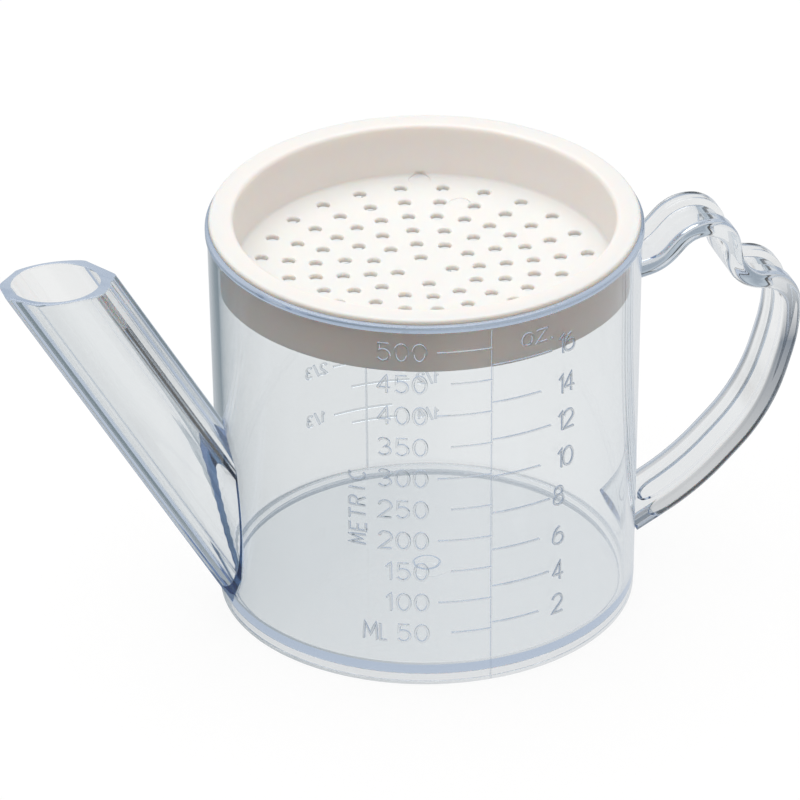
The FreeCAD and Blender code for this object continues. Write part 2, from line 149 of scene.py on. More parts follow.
def keep_normals(piece, sign=1):
    """Store how the surface is shaded, so that a cut can't spoil it. The sign is
    -1 for a tool whose surface becomes a hollow."""
    normals = read(piece.data.corner_normals, "vector") * sign
    kept = piece.data.attributes.new("kept_normal", "FLOAT_VECTOR", "CORNER")
    kept.data.foreach_set("vector", normals.ravel())


def combine(piece, tool, operation):
    """Join, cut or trim a piece by a tool, and drop the modifier."""
    modifier = piece.modifiers.new("combine", "BOOLEAN")
    modifier.object = tool
    modifier.operation = operation
    modifier.solver = "MANIFOLD"
    modifier.material_mode = "TRANSFER"
    settle_mesh(piece)


def settle_mesh(piece):
    """Replace a piece's mesh by what its modifiers make of it."""
    graph = bpy.context.evaluated_depsgraph_get()
    made = bpy.data.meshes.new_from_object(
        piece.evaluated_get(graph), preserve_all_data_layers=True, depsgraph=graph
    )
    piece.modifiers.clear()
    piece.data = made


def split_faces(piece):
    """Split the many-cornered faces that cuts leave into triangles."""
    work = bmesh.new()
    work.from_mesh(piece.data)
    bmesh.ops.triangulate(
        work, faces=[face for face in work.faces if len(face.verts) > 4], ngon_method="BEAUTY"
    )
    work.to_mesh(piece.data)
    work.free()


def true_wall_normals(mesh, normals):
    """Shade the wall as an exact cone, inside and out, and the raised figures
    face by face."""
    corner = read(mesh.loops, "vertex_index", np.int32)
    first = read(mesh.polygons, "loop_start", np.int32)
    count = read(mesh.polygons, "loop_total", np.int32)
    flat = np.repeat(read(mesh.polygons, "normal"), count, axis=0)
    spot = read(mesh.vertices, "co")[corner] * 1000
    radius = np.maximum(np.hypot(spot[:, 0], spot[:, 1]), 1e-6)
    radial = np.stack([spot[:, 0] / radius, spot[:, 1] / radius], axis=1)
    outward = (flat[:, :2] * radial).sum(axis=1)

    def whole(corners):
        """True at each corner of the faces whose corners are all true."""
        return np.repeat(np.minimum.reduceat(corners.astype(int), first) > 0, count)

    for foot, top, side in ((WALL_FOOT, WALL_TOP, 1), (BORE_FOOT, BORE_TOP, -1)):
        slope = (top[0] - foot[0]) / (top[1] - foot[1])
        away = radius - foot[0] - slope * (spot[:, 2] - foot[1])
        level = (spot[:, 2] > foot[1] - 0.1) & (spot[:, 2] < WALL_TOP[1] + 0.1)
        on_wall = whole(level & (abs(away) < 0.008) & (side * outward > 0.99))
        tilt = side / math.hypot(1, slope)
        normals[on_wall, :2] = radial[on_wall] * tilt
        normals[on_wall, 2] = -slope * tilt
        if side == 1:
            level = (spot[:, 2] > 0.4) & (spot[:, 2] < WALL_TOP[1] - 0.05)
            raised = whole(level & (away > -0.008)) & ~on_wall
            normals[raised] = flat[raised]
    return normals


def settle_normals(piece):
    """Shade a finished piece as its parts were shaded before they were cut."""
    mesh = piece.data
    normals = read(mesh.attributes["kept_normal"].data, "vector")
    normals /= np.maximum(np.linalg.norm(normals, axis=1, keepdims=True), 1e-6)
    if piece.name == "clear_cup":
        normals = true_wall_normals(mesh, normals)
    mesh.normals_split_custom_set(normals.tolist())
    mesh.attributes.remove(mesh.attributes["kept_normal"])
    mesh.name = piece.name


def drop(*pieces):
    """Remove tools that have done their work."""
    for piece in pieces:
        bpy.data.objects.remove(piece)


def linear(hex_colour):
    """An sRGB hex colour as linear red, green, blue and alpha."""
    parts = [int(hex_colour[place : place + 2], 16) / 255 for place in (1, 3, 5)]
    return [c / 12.92 if c <= 0.04045 else ((c + 0.055) / 1.055) ** 2.4 for c in parts] + [1.0]


def bare_material(name):
    """A new material, and its node tree with nothing in it."""
    material = bpy.data.materials.new(name)
    material.use_nodes = True
    material.node_tree.nodes.clear()
    return material, material.node_tree


def add_node(tree, kind, settings=None, **inputs):
    """Add a node to a tree. Inputs are named with _ for a space, or n0, n1 and on
    by their place. Each is a plain value, an output socket, or a node, which
    gives the first of its outputs in use."""
    node = tree.nodes.new(kind)
    for name, value in (settings or {}).items():
        setattr(node, name, value)
    for name, value in inputs.items():
        key = int(name[1:]) if name[0] == "n" and name[1:].isdigit() else name.replace("_", " ")
        if isinstance(value, bpy.types.Node):
            value = next(output for output in value.outputs if output.enabled)
        if isinstance(value, bpy.types.NodeSocket):
            tree.links.new(value, node.inputs[key])
        else:
            node.inputs[key].default_value = value
    return node


CLEAR_TINT = "#F9FBFC"


def clear_san():
    """Clear moulded SAN. Its polished mould gives a glass-like gloss; the melt's flow
    leaves a slow ripple, thick places look a little blue, and some faces get painted shade."""
    material, tree = bare_material("clear_moulded_san")
    place = add_node(tree, "ShaderNodeTexCoord").outputs["Object"]
    # Flow ripples are about 14 mm long; haze comes in patches of about 30 mm.
    ripple = add_node(tree, "ShaderNodeTexNoise", Vector=place, Scale=70.0, Detail=1.0)
    bump = add_node(tree, "ShaderNodeBump", Strength=0.12, Distance=0.00012, Height=ripple)
    haze = add_node(tree, "ShaderNodeTexNoise", Vector=place, Scale=33.0, Detail=3.0)
    polish = add_node(
        tree,
        "ShaderNodeMapRange",
        Value=haze,
        From_Min=0.35,
        From_Max=0.75,
        To_Min=0.0,
        To_Max=0.04,
    )
    # Painted shade: a face attribute darkens some faces towards a tint, standing in
    # for the shade and dark reflections seen in them.
    painted_shade = add_node(tree, "ShaderNodeAttribute", {"attribute_name": "painted_shade"})
    tint = add_node(
        tree,
        "ShaderNodeVectorMath",
        {"operation": "SUBTRACT"},
        n0=linear(CLEAR_TINT)[:3],
        n1=painted_shade.outputs["Vector"],
    )
    plastic = add_node(
        tree,
        "ShaderNodeBsdfPrincipled",
        Base_Color=tint,
        Roughness=polish,
        IOR=1.57,
        Transmission_Weight=1.0,
        Normal=bump,
    )
    # Light that runs along inside a wall comes out pale blue in the end. A ray that
    # is cut off before it gets out takes that colour instead of black.
    path = add_node(tree, "ShaderNodeLightPath").outputs
    above = {"operation": "GREATER_THAN"}
    bounced = add_node(tree, "ShaderNodeMath", above, n0=path["Glossy Depth"], n1=3.5)
    spent = add_node(tree, "ShaderNodeMath", above, n0=path["Ray Depth"], n1=10.5)
    trapped = add_node(tree, "ShaderNodeMath", {"operation": "MAXIMUM"}, n0=bounced, n1=spent)
    piped = add_node(tree, "ShaderNodeEmission", Color=linear("#C4CEDD"), Strength=1.0)
    inside = add_node(tree, "ShaderNodeMixShader", n0=trapped, n1=plastic, n2=piped)
    # Lamp light passes through, so that the cup's inside and the table are lit.
    open_to_lamps = add_node(tree, "ShaderNodeBsdfTransparent", Color=linear("#F2F4F5"))
    surface = add_node(
        tree, "ShaderNodeMixShader", n0=path["Is Shadow Ray"], n1=inside, n2=open_to_lamps
    )
    material.cycles.emission_sampling = "NONE"
    depth_and_painted_shade = add_node(tree, "ShaderNodeVolumeAbsorption", Color=linear("#7C9EBC"), Density=7.0)
    add_node(tree, "ShaderNodeOutputMaterial", Surface=surface, Volume=depth_and_painted_shade)
    return material


def weld_line():
    """Where a moulding is welded to the cup the solvent melts both surfaces, and
    only a faint blue skin is left to see."""
    material, tree = bare_material("solvent_weld")
    melted = add_node(tree, "ShaderNodeBsdfTransparent", Color=linear("#C6D1E2"))
    add_node(tree, "ShaderNodeOutputMaterial", Surface=melted)
    return material


def deepen(piece, tint, amounts=1.0):
    """Paint shade onto a piece's faces: how far each is darkened, from nothing, 0,
    to the whole way to a tint, 1."""
    painted_shade = np.subtract(linear(CLEAR_TINT), linear(tint))[:3]
    amounts = np.broadcast_to(amounts, len(piece.data.polygons))
    kept = piece.data.attributes.new("painted_shade", "FLOAT_VECTOR", "FACE")
    kept.data.foreach_set("vector", np.outer(amounts, painted_shade).ravel())


def middles(piece):
    """The middle of each face of a piece, in millimetres."""
    return np.array([face.center for face in piece.data.polygons]) * 1000


clear_plastic = clear_san()
weld = weld_line()

cup = turned(
    "clear_cup",
    rounded(
        [
            (0, HOLLOW, 0),
            (HOLLOW_RADIUS - 0.05, HOLLOW, 0.3),
            (HOLLOW_RADIUS + 0.05, 0, 0.3),
            (FOOT_RADIUS, 0, 0.25),
            (FOOT_RADIUS, WALL_FOOT[1], 0),
            (*WALL_FOOT, 0.04),
            # Rows up the wall keep each face small where figures join it.
            *[(wall_radius(z), z, 0) for z in np.arange(3.0, 87.5, 1.3)],
            (*WALL_TOP, 0.15),
            (RIM_RADIUS, WALL_TOP[1], 0.2),
            (RIM_RADIUS, CUP_HEIGHT, 0.9),
            (RIM_LIP, CUP_HEIGHT, 0.15),
            (*BORE_TOP, 0.4),
            (*BORE_FOOT, 1.2),
            (PAD_RADIUS + 0.05, FLOOR, 0.01),
            (PAD_RADIUS - 0.05, FLOOR + 0.02, 0.01),
            (GATE_RADIUS + 0.4, FLOOR + 0.02, 0.1),
            (GATE_RADIUS + 0.15, FLOOR - 0.2, 0.1),
            (GATE_RADIUS - 0.15, FLOOR + 0.12, 0.1),
            (0, FLOOR + 0.12, 0),
        ]
    ),
    CUP_TURNS,
    closed=False,
)
cup.data.materials.append(clear_plastic)
# Painted shade: the step of the hollow under the floor is painted as a grey line
# round the foot, fainter below the scales.
middle = middles(cup)
on_step = abs(np.hypot(middle[:, 0], middle[:, 1]) - HOLLOW_RADIUS) < 0.3
on_step &= middle[:, 2] < HOLLOW
deepen(cup, "#8C93A0", on_step * np.where(middle[:, 1] > 0, 0.65, 0.25))
keep_normals(cup)


def wall_solid(name, reach, material):
    """The cup's outer wall as a solid cone, grown by a reach, flaring above the
    welds so that it clears the rim band."""
    low, high, top = -6, 84, 96
    outline = [
        (0, low),
        (wall_radius(low) + reach, low),
        (wall_radius(high) + reach, high),
        (RIM_RADIUS + 2, high + 3),
        (RIM_RADIUS + 2, top),
        (0, top),
    ]
    solid = turned(name, outline, CUP_TURNS, closed=False)
    solid.data.materials.append(material)
    return solid


# ---------------------------------------------------------------------------
# Spout. A clear tube, moulded apart with flat sides, coped to the wall and
# solvent-welded over a port just above the floor. Its mouth is cut level.

TUBE_BORE, LIP, INNER_LIP = 8.4, 0.45, 0.3
# The port's middle, where distances along the tube start.
PORT = np.array((-36.893, 0.0, 8.7))
UP_TUBE = np.array((-0.5, 0.0, math.sqrt(0.75)))
ACROSS_TUBE = np.array((math.sqrt(0.75), 0.0, 0.5))
MOUTH_HEIGHT = 89.4
TUBE_START, PORT_START, TOOL_END = -2.0, -0.48, 40.0


def tube_outline():
    """The tube's outside: a broad curved face on each side, a low side of three
    facets and two facets that meet in a ridge towards the cup."""
    face = []
    for across in np.linspace(7.0, -5.2, 13):
        face.append((across, 9.55 - (across - 0.6) ** 2 / 32))
    upper = [(11.65, 0.0, 1.2), (7.75, 7.75, 0.45)]
    upper += [(across, side, 0) for across, side in face]
    upper += [(-5.95, 8.15, 0.45), (-10.5, 3.1, 0.6)]
    lower = [(across, -side, radius) for across, side, radius in upper[:0:-1]]
    corners = rounded(upper + lower)
    outline = []
    for start, end in zip(corners, corners[1:] + corners[:1]):
        steps = max(1, math.ceil(math.dist(start, end) / 0.5))
        for number in range(steps):
            share = number / steps
            outline.append(tuple(a + (b - a) * share for a, b in zip(start, end)))
    return outline


def along_tube(section, distance):
    """A section's points, carried some distance along the tube."""
    points = []
    for across, side in section:
        foot = PORT + ACROSS_TUBE * across + np.array((0.0, side, 0.0))
        points.append(foot + UP_TUBE * distance)
    return points


def mouth_ring(section, drop=0.0, inward=0.0, other=None):
    """A section's points at the level mouth, less a drop. Inward moves them
    level towards the same points of another ring."""
    ring = []
    for index, foot in enumerate(along_tube(section, 0)):
        point = foot + UP_TUBE * ((MOUTH_HEIGHT - drop - foot[2]) / UP_TUBE[2])
        if other is not None:
            towards = other[index] - point
            towards[2] = 0
            point = point + towards / np.linalg.norm(towards) * inward
        ring.append(point)
    return ring


def band(low, high, count):
    """Faces between two rings of points, given the number of each one's first."""
    following = [(n + 1) % count for n in range(count)]
    return [[low + n, low + f, high + f, high + n] for n, f in enumerate(following)]


def bar(name, section, start, finish):
    """A solid bar of a section along the tube."""
    count = len(section)
    ends = [list(range(count))[::-1], list(range(count, 2 * count))]
    points = along_tube(section, start) + along_tube(section, finish)
    return new_piece(name, points, band(0, count, count) + ends)


def make_tube(name):
    """The tube, with its bore and a softened lip at the mouth."""
    outside = tube_outline()
    inside = [tuple(TUBE_BORE * c / math.hypot(*point) for c in point) for point in outside]
    outer_mouth, inner_mouth = mouth_ring(outside), mouth_ring(inside)
    rings = [along_tube(outside, TUBE_START), mouth_ring(outside, LIP + 0.25)]
    for section, other, lip, swings in (
        (outside, inner_mouth, LIP, (0, 22.5, 45, 67.5, 90)),
        (inside, outer_mouth, INNER_LIP, (90, 60, 30, 0)),
    ):
        for swing in np.radians(swings):
            drop, inward = lip * (1 - math.sin(swing)), lip * (1 - math.cos(swing))
            rings.append(mouth_ring(section, drop, inward, other))
    rings += [mouth_ring(inside, INNER_LIP + 0.25), along_tube(inside, TUBE_START)]
    count, faces = len(outside), []
    for level in range(len(rings)):
        faces += band(level * count, (level + 1) % len(rings) * count, count)
    return new_piece(name, [point for ring in rings for point in ring], faces)


spout = make_tube("pouring_spout")
spout.data.materials.append(clear_plastic)
keep_normals(spout)
cope = wall_solid("cope", 0.06, weld)
keep_normals(cope, -1)
combine(spout, cope, "DIFFERENCE")
settle_normals(spout)

# The wall swells out to meet the tube; the two faces are 0.02 mm apart.
spout_root = bar("spout_root", tube_outline(), TUBE_START, TOOL_END)
spout_root.data.materials.append(clear_plastic)
keep_normals(spout_root)
root_limit = wall_solid("root_limit", 0.04, weld)
keep_normals(root_limit)
combine(spout_root, root_limit, "INTERSECT")
wall_core = wall_solid("wall_core", -1.0, weld)
keep_normals(wall_core, -1)
combine(spout_root, wall_core, "DIFFERENCE")
combine(cup, spout_root, "UNION")
port_circle = [
    (TUBE_BORE * math.cos(a), TUBE_BORE * math.sin(a))
    for a in np.linspace(0, 2 * math.pi, 145)[:-1]
]
port = bar("port", port_circle, PORT_START, TOOL_END)
# Painted reflection: the bored edge of the wall is painted dark blue, standing in
# for the dark surroundings it mirrors inside the wall.
port.data.materials.append(clear_plastic)
deepen(port, "#365680")
keep_normals(port, -1)
combine(cup, port, "DIFFERENCE")
drop(spout_root, port, wall_core)

# ---------------------------------------------------------------------------
# Handle. A clear strap, moulded apart with a channel along its outer face, bent
# in waves for the thumb and fingers, and welded to the wall at both ends.

STRAP_WIDTH, STRAP_DEPTH, STRAP_EDGE = 15.6, 4.2, 1.2
CHANNEL_WIDTH, CHANNEL_DEPTH = 6.2, 1.4
# The channel's ends: how far from the roots, and how long its round loops are.
CHANNEL_START, CHANNEL_STOP, CHANNEL_LOOP = 5.0, 4.0, 4.5
STRAP_CORNERS = [
    (46.1, 73.4),
    (52.55, 74.5),
    (59.65, 82.1),
    (68.45, 80.4),
    (70.15, 66.6),
    (83.15, 65.5),
    (83.25, 52.9),
    (77.15, 32.9),
    (60.65, 16.6),
    (46.1, 8.9),
]


def strap_course(corners):
    """The strap's middle line, each corner rounded by half of its shorter run,
    in even steps of 0.5 mm and eased so that one bend flows into the next."""
    corners = [np.array(c, float) for c in corners]
    line = [corners[0]]
    for before, corner, after in zip(corners, corners[1:], corners[2:]):
        back, ahead = before - corner, after - corner
        tangent = 0.5 * min(np.linalg.norm(back), np.linalg.norm(ahead))
        back, ahead = back / np.linalg.norm(back), ahead / np.linalg.norm(ahead)
        half = 0.5 * math.acos(float(back @ ahead))
        radius = tangent * math.tan(half)
        middle = (back + ahead) / np.linalg.norm(back + ahead)
        centre = corner + middle * (tangent / math.cos(half))
        first, last = corner + back * tangent - centre, corner + ahead * tangent - centre
        for share in np.linspace(0, 1, 25):
            arm = first * (1 - share) + last * share
            line.append(centre + arm / np.linalg.norm(arm) * radius)
    line.append(corners[-1])
    line = np.array(line)
    run = np.concatenate([[0], np.cumsum(np.linalg.norm(np.diff(line, axis=0), axis=1))])
    even = np.arange(0, run[-1], 0.5)
    line = np.stack([np.interp(even, run, line[:, axis]) for axis in (0, 1)], axis=1)
    for _ in range(6):
        line[1:-1] = 0.25 * line[:-2] + 0.5 * line[1:-1] + 0.25 * line[2:]
    return line


def strap_section(sink):
    """The strap's outline as (side, up) points. Sink runs from 0, no channel, to
    1, the whole channel."""
    half, up = 0.5 * STRAP_WIDTH, 0.5 * STRAP_DEPTH
    lip = 0.5 * CHANNEL_WIDTH * max(sink, 0.02)
    floor = up - CHANNEL_DEPTH * sink
    wall = soft = 0.3 * max(sink, 0.02)
    corners = [
        (half, -up, STRAP_EDGE),
        (half, up, STRAP_EDGE),
        (lip + wall, up, soft),
        (lip - wall, floor - 0.002, soft),
        (-lip + wall, floor - 0.002, soft),
        (-lip - wall, up, soft),
        (-half, up, STRAP_EDGE),
        (-half, -up, STRAP_EDGE),
    ]
    return rounded(corners, steps_each=6)


def make_strap(name):
    """Carry the section along the course. The channel ends in a round loop a
    little way from each root."""
    line = strap_course(STRAP_CORNERS)
    tangents = np.gradient(line, axis=0)
    tangents /= np.linalg.norm(tangents, axis=1, keepdims=True)
    run = np.concatenate([[0], np.cumsum(np.linalg.norm(np.diff(line, axis=0), axis=1))])
    points = []
    for place, tangent, distance in zip(line, tangents, run):
        to_end = min(distance - CHANNEL_START, run[-1] - CHANNEL_STOP - distance)
        share = float(np.clip(to_end / CHANNEL_LOOP, 0, 1))
        sink = math.sqrt(max(0.0, 1 - (1 - share) ** 2))
        normal = np.array((-tangent[1], tangent[0]))
        section = strap_section(sink)
        for side, up in section:
            x, z = place + normal * up
            points.append((x, side, z))
    faces, count = [], len(section)
    for level in range(len(line) - 1):
        faces += band(level * count, (level + 1) * count, count)
    last = (len(line) - 1) * count
    faces += [list(range(count))[::-1], list(range(last, last + count))]
    return new_piece(name, points, faces)


handle = make_strap("strap_handle")
handle.data.materials.append(clear_plastic)
# Painted shade: the strap's sides are darkened along its long lower curve,
# most near 50 mm up, standing in for the dark edges that reflections draw there.
middle = middles(handle)
depth_and_painted_shade = np.interp(middle[:, 2], (18, 38, 50, 64), (0.5, 0.85, 1, 0))
at_side = np.clip((abs(middle[:, 1]) - 0.5 * STRAP_WIDTH + 1) / 0.6, 0, 1)
deepen(handle, "#4A5563", depth_and_painted_shade * at_side)
handle.data.set_sharp_from_angle(angle=math.radians(60))
keep_normals(handle)
handle_roots = handle.copy()
handle_roots.data = handle.data.copy()
bpy.context.scene.collection.objects.link(handle_roots)
combine(handle, cope, "DIFFERENCE")
settle_normals(handle)
combine(handle_roots, root_limit, "INTERSECT")
combine(cup, handle_roots, "UNION")
drop(handle_roots, cope, root_limit)

# ---------------------------------------------------------------------------
# Scales and parting line. Lines and figures were cut into the mould, so they
# stand out of the wall: millilitres and ounces each side of the parting line,
# cups on the far side.

LINE_RELIEF, LINE_ROOT = 0.28, -0.15
FIGURE_WIDTH, LINE_WIDTH, SEAM_WIDTH = 0.66, 0.6, 0.5


def raised_line(path, width, closed=False, relief=LINE_RELIEF):
    """Points and faces of one line on the wall. The path is (degrees, height)
    points; its section is a low ridge with sloping sides."""
    path = [np.array((math.radians(a) * wall_radius(z), z)) for a, z in path]
    fine = []
    ends = path + path[:1] if closed else path
    for start, end in zip(ends, ends[1:]):
        steps = max(1, math.ceil(np.linalg.norm(end - start) / 0.7))
        fine += [start + (end - start) * n / steps for n in range(steps)]
    if not closed:
        fine.append(ends[-1])
    size = len(fine)
    section = [
        (-0.5 * width, LINE_ROOT),
        (-0.5 * width, -0.02),
        (-0.28 * width, relief),
        (0.28 * width, relief),
        (0.5 * width, -0.02),
        (0.5 * width, LINE_ROOT),
    ]
    points = []
    for index, place in enumerate(fine):
        back = fine[index - 1] if index or closed else None
        ahead = fine[(index + 1) % size] if index < size - 1 or closed else None
        runs = []
        if back is not None:
            runs.append((place - back) / np.linalg.norm(place - back))
        if ahead is not None:
            runs.append((ahead - place) / np.linalg.norm(ahead - place))
        along = sum(runs) / np.linalg.norm(sum(runs))
        across = np.array((-along[1], along[0]))
        mitre = 1 / max(0.6, float(across @ np.array((-runs[0][1], runs[0][0]))))
        for shift, out in section:
            spot = place + across * (shift * mitre)
            radius = wall_radius(spot[1]) + out
            angle = spot[0] / wall_radius(place[1])
            points.append((radius * math.cos(angle), radius * math.sin(angle), spot[1]))
    faces, count = [], len(section)
    for index in range(size if closed else size - 1):
        faces += band(count * index, count * ((index + 1) % size), count)
    if not closed:
        faces += [list(range(count)), [count * size - n for n in range(1, count + 1)]]
    return points, faces


def raised_piece(name, lines):
    """One mesh of several separate raised lines."""
    points, faces = [], []
    for more_points, more_faces in lines:
        faces += [[v + len(points) for v in face] for face in more_faces]
        points += more_points
    piece = new_piece(name, points, faces)
    piece.data.materials.append(clear_plastic)
    # Painted shade: the lines are darkened, more away from the middle of the cup's
    # front and on the far side, standing in for the dark edges their refraction gives.
    middle = middles(piece)
    depth_and_painted_shade = np.interp(middle[:, 0], (-25, -20, 2, 2.5, 12, 16), (0.5, 0.2, 0.2, 0.4, 0.4, 0.65))
    deepen(piece, "#6F7984", np.where(middle[:, 1] > 0, 0.45, depth_and_painted_shade))
    return piece


def bow(x, y, rx, ry, start, end, steps=12):
    """Points along part of an ellipse, for the round strokes of a figure."""
    angles = np.radians(np.linspace(start, end, steps))
    return [(x + rx * math.cos(a), y + ry * math.sin(a)) for a in angles]


# Each figure's strokes on a cell one unit wide and one high, in the plain
# single-line hand of an engraving machine. A stroke that closes is a loop.
RING = bow(0.5, 0.5, 0.5, 0.5, 90, 450, 25)[:-1]
STROKES = {
    "0": [(RING, True)],
    "1": [([(0.55, 0.76), (0.9, 1), (0.9, 0)], False)],
    "2": [(bow(0.5, 0.7, 0.48, 0.3, 165, -35) + [(0.02, 0), (1, 0)], False)],
    "3": [(bow(0.45, 0.75, 0.42, 0.25, 150, -80) + bow(0.46, 0.27, 0.5, 0.27, 75, -150), False)],
    "4": [([(0.72, 0), (0.72, 1), (0.02, 0.28)], False), ([(0.1, 0.28), (1, 0.28)], False)],
    "5": [([(0.92, 1), (0.14, 1), (0.08, 0.55)] + bow(0.46, 0.33, 0.5, 0.33, 115, -150), False)],
    "6": [
        (bow(0.5, 0.31, 0.5, 0.31, 0, 360, 21)[:-1], True),
        (bow(1.0, 0.33, 0.98, 0.7, 112, 168), False),
    ],
    "8": [
        (bow(0.5, 0.76, 0.38, 0.24, 0, 360, 17)[:-1], True),
        (bow(0.5, 0.26, 0.47, 0.27, 0, 360, 19)[:-1], True),
    ],
    "/": [([(0.1, -0.1), (0.9, 1.1)], False)],
    ".": [([(0.1, 0.02), (0.25, 0.02)], False)],
    "M": [([(0, 0), (0.08, 1), (0.5, 0.25), (0.92, 1), (1, 0)], False)],
    "L": [([(0.1, 1), (0.1, 0), (0.8, 0)], False)],
    "O": [(RING, True)],
    "Z": [([(0, 1), (1, 1), (0, 0), (1, 0)], False)],
    "E": [([(0.9, 1), (0.05, 1), (0.05, 0), (0.9, 0)], False), ([(0.1, 0.5), (0.75, 0.5)], False)],
    "T": [([(0, 1), (1, 1)], False), ([(0.5, 0.95), (0.5, 0)], False)],
    "R": [
        ([(0.05, 0), (0.05, 1)], False),
        ([(0.1, 1)] + bow(0.55, 0.76, 0.4, 0.24, 90, -90) + [(0.1, 0.52)], False),
        ([(0.5, 0.5), (0.95, 0)], False),
    ],
    "I": [([(0.5, 0), (0.5, 1)], False)],
    "C": [(bow(0.55, 0.5, 0.52, 0.5, 50, 310), False)],
    "U": [([(0.02, 1)] + bow(0.5, 0.35, 0.48, 0.35, 180, 360) + [(0.98, 1)], False)],
    "P": [
        ([(0.05, 0), (0.05, 1)], False),
        ([(0.1, 1)] + bow(0.55, 0.76, 0.4, 0.24, 90, -90) + [(0.1, 0.52)], False),
    ],
    "S": [(bow(0.5, 0.75, 0.42, 0.25, 30, 250) + bow(0.5, 0.26, 0.45, 0.26, 80, -150), False)],
}
# The strokes of one figure overlap, so the first strokes of all figures are
# joined to the cup together, then the second and the third ones.
stroke_turns = [[], [], []]


def write(text, degrees, height, wide=2.8, tall=4.2, pitch=3.88, upright=True):
    """Set text on the wall, centred at a place. Text that isn't upright reads
    upwards."""
    start = -0.5 * (pitch * (len(text) - 1) + wide)
    for number, letter in enumerate(text):
        for turn, (stroke, closed) in enumerate(STROKES.get(letter, [])):
            path = []
            for x, y in stroke:
                run, rise = start + pitch * number + wide * x, tall * (y - 0.5)
                if not upright:
                    run, rise = -rise, run
                z = height + rise
                path.append((degrees + math.degrees(run / wall_radius(z)), z))
            stroke_turns[turn].append(raised_line(path, FIGURE_WIDTH, closed))


# Height of no volume and of each ml, ounce and cup; the cups start higher.
ZERO, CUP_ZERO = 5.4, 6.6
ML_STEP, OUNCE_STEP, CUP_STEP = 0.157, 4.64, 37.15
# Where the figures stand, in degrees round the cup from the handle.
ML_PLACE, OUNCE_PLACE, CUP_PLACE, THIRD_PLACE = -108.95, -69.7, 71.4, 105.9
for volume in range(50, 501, 50):
    text = str(volume)
    write(text, ML_PLACE - 2.41 * (len(text) - 1), ZERO + ML_STEP * volume)
write("M", -123.0, ZERO + ML_STEP * 50, wide=3.0)
write("L", -119.2, ZERO + ML_STEP * 50, wide=2.2)
write("METRIC", -126.1, 44.3, wide=2.3, tall=3.7, pitch=3.2, upright=False)
# The engraver set each ounce figure by eye, a little above or below its line.
for number, nudge in enumerate((0.3, -0.6, -0.8, 0.0, -0.1, 0.0, -0.1, 0.7), 1):
    text = str(2 * number)
    height = ZERO + OUNCE_STEP * 2 * number + nudge
    write(text, OUNCE_PLACE + 1.2 * (len(text) - 1), height, tall=4.5, pitch=2.9)
write("OZ.", -75.9, 84.2, wide=2.5, tall=3.0, pitch=3.4)
for quarter in range(1, 9):
    whole, part = divmod(quarter, 4)
    height = CUP_ZERO + CUP_STEP * quarter / 4 + 0.3
    if part:
        text = {1: "1/4", 2: "1/2", 3: "3/4"}[part]
        write(text, CUP_PLACE, height, wide=1.7, tall=2.6, pitch=2.1)
    if whole:
        write(str(whole), CUP_PLACE - 6.9 * bool(part), height, wide=2.2, tall=3.4)
for third in (1, 2, 4, 5):
    whole, part = divmod(third, 3)
    height = CUP_ZERO + CUP_STEP * third / 3 + 0.3
    write(f"{part}/3", THIRD_PLACE + 1.7 * whole, height, wide=1.7, tall=2.6, pitch=2.1)
    if whole:
        write(str(whole), THIRD_PLACE - 4.9, height, wide=2.2, tall=3.4)
write("CUPS", CUP_PLACE, 86.1, wide=2.0, tall=3.0, pitch=2.7)


def node_group(name, output, **inputs):
    """Geometry nodes with named inputs and one output, and what is put in."""
    tree = bpy.data.node_groups.new(name, "GeometryNodeTree")
    for key, kind in inputs.items():
        tree.interface.new_socket(
            key.replace("_", " "), in_out="INPUT", socket_type="NodeSocket" + kind
        )
    tree.interface.new_socket(output, in_out="OUTPUT", socket_type="NodeSocketGeometry")
    return tree, add_node(tree, "NodeGroupInput").outputs


def ladder():
    """Geometry nodes that repeat a line up the tapered wall."""
    tree, given = node_group(
        "line_ladder",
        "Lines",
        Line="Geometry",
        Count="Int",
        Step="Float",
        First_Radius="Float",
        Slope="Float",
        Material="Material",
    )
    times = {"operation": "MULTIPLY"}
    offset = add_node(tree, "ShaderNodeCombineXYZ", Z=given["Step"])
    rungs = add_node(
        tree, "GeometryNodeMeshLine", {"mode": "OFFSET"}, Count=given["Count"], Offset=offset
    )
    place = add_node(tree, "GeometryNodeInputPosition")
    height = add_node(tree, "ShaderNodeSeparateXYZ", Vector=place).outputs["Z"]
    gain = add_node(tree, "ShaderNodeMath", times, n0=height, n1=given["Slope"])
    share = add_node(
        tree, "ShaderNodeMath", {"operation": "DIVIDE"}, n0=gain, n1=given["First Radius"]
    )
    grown = add_node(tree, "ShaderNodeMath", {"operation": "ADD"}, n0=share, n1=1.0)
    scale = add_node(tree, "ShaderNodeCombineXYZ", X=grown, Y=grown, Z=1.0)
    copies = add_node(
        tree, "GeometryNodeInstanceOnPoints", Points=rungs, Instance=given["Line"], Scale=scale
    )
    real = add_node(tree, "GeometryNodeRealizeInstances", Geometry=copies)
    painted = add_node(tree, "GeometryNodeSetMaterial", Geometry=real, Material=given["Material"])
    add_node(tree, "NodeGroupOutput", Lines=painted)
    return tree


def give(piece, tree, **values):
    """Put a node tree on a piece, set its named inputs and settle the mesh."""
    modifier = piece.modifiers.new(tree.name, "NODES")
    modifier.node_group = tree
    for item in tree.interface.items_tree:
        key = item.name.replace(" ", "_")
        if item.in_out == "INPUT" and key in values:
            modifier[item.identifier] = values[key]
    settle_mesh(piece)


